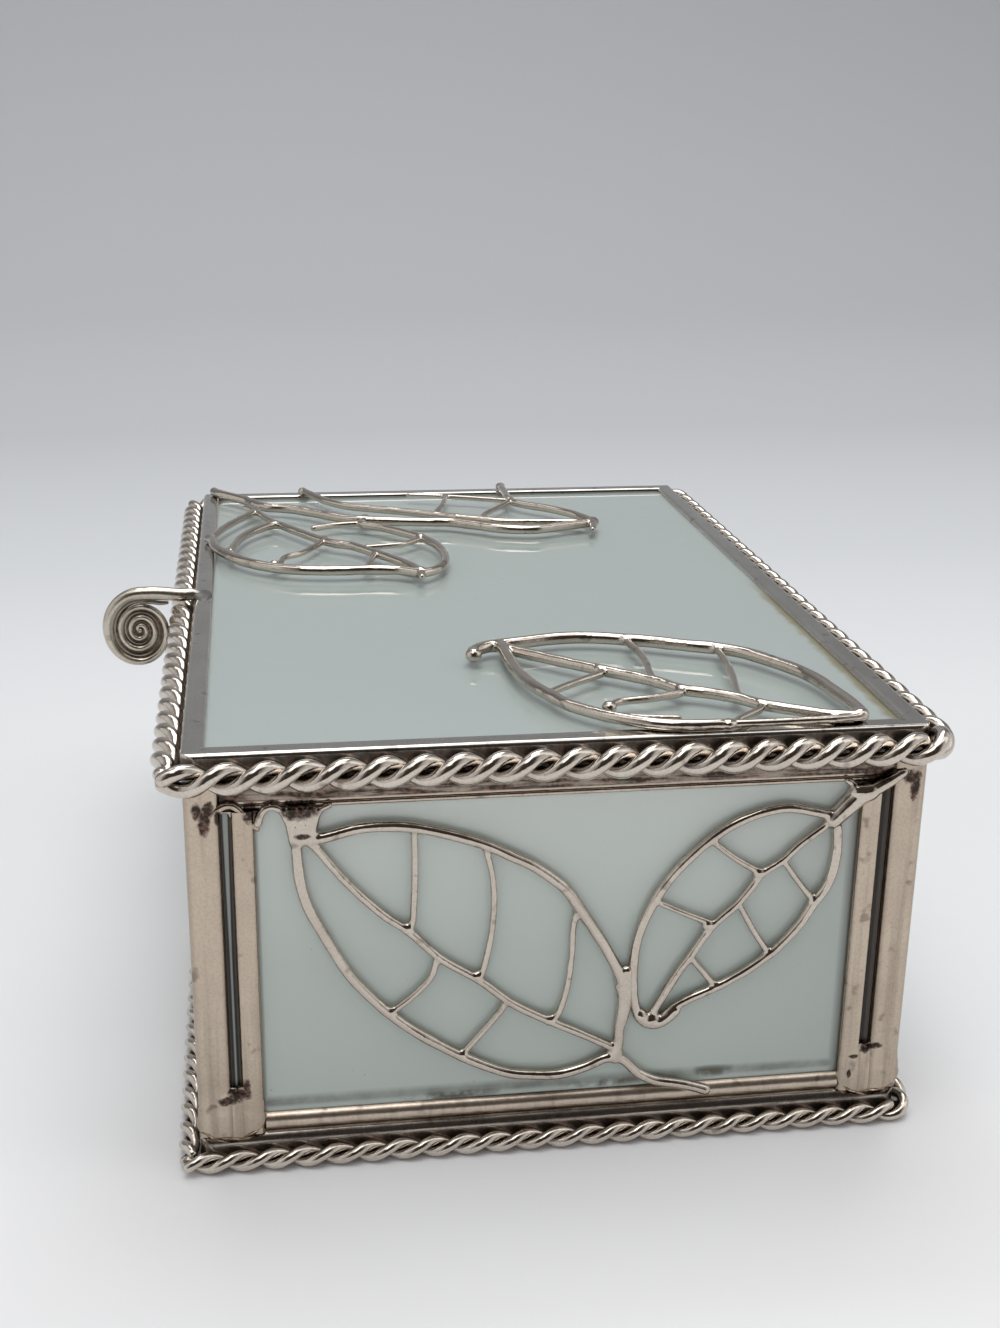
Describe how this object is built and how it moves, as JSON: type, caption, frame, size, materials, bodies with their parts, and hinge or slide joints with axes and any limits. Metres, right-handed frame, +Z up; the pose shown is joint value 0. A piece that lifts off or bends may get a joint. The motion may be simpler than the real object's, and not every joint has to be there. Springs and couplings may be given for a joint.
{
  "type": "glass casket box",
  "caption": "Low rectangular glass box with a hinged glass lid, plated solder seams, twisted wire trims, wire leaves and a spiral finger tab.",
  "frame": {"origin": "on the table, under the middle of the whole outline with the finger tab counted in", "axes": "+X along the box towards the end with the two wire leaves, +Y towards the hinge, -Y towards the finger tab, +Z up"},
  "size_m": [0.158, 0.1211, 0.064],
  "materials": {
    "glass": "slightly wavy, pale grey-green",
    "solder": "silver-plated solder, hand-run beads",
    "twisted_wire": "silver-plated twisted wire",
    "wire": "silver-plated soldered wire",
    "hinge_metal": "plated brass tube and rod"
  },
  "bodies": {
    "body": {"base_glass": "glass", "base_front_bar": "solder", "base_right_bar": "solder", "base_back_bar": "solder", "base_left_bar": "solder", "base_front_trim": "twisted_wire", "base_right_trim": "twisted_wire", "base_back_trim": "twisted_wire", "base_left_trim": "twisted_wire", "front_glass": "glass", "right_glass": "glass", "back_glass": "glass", "left_glass": "glass", "front_left_post": "solder", "front_right_post": "solder", "back_right_post": "solder", "back_left_post": "solder", "front_rods": "solder", "right_rods": "solder", "back_rods": "solder", "left_rods": "solder", "front_rim": "solder", "right_rim": "solder", "back_rim": "solder", "left_rim": "solder", "front_foot_bar": "solder", "right_foot_bar": "solder", "back_foot_bar": "solder", "left_foot_bar": "solder", "right_large_leaf": "wire", "right_small_leaf": "wire", "hinge_tube": "hinge_metal"},
    "lid": {"hinge_rod": "hinge_metal", "lid_glass": "glass", "lid_front_bar": "solder", "lid_right_bar": "solder", "lid_back_bar": "solder", "lid_left_bar": "solder", "lid_front_trim": "twisted_wire", "lid_right_trim": "twisted_wire", "lid_back_trim": "twisted_wire", "lid_left_trim": "twisted_wire", "lid_near_leaf": "wire", "lid_corner_leaf": "wire", "lid_far_leaf": "wire", "finger_tab": "wire"}
  },
  "joints": [
    {"name": "lid_hinge", "type": "hinge", "parent": "body", "child": "lid", "pos_m": [0, 0.05769, 0.0558], "axis": [-1, 0, 0], "range_deg": [0, 105]}
  ]
}
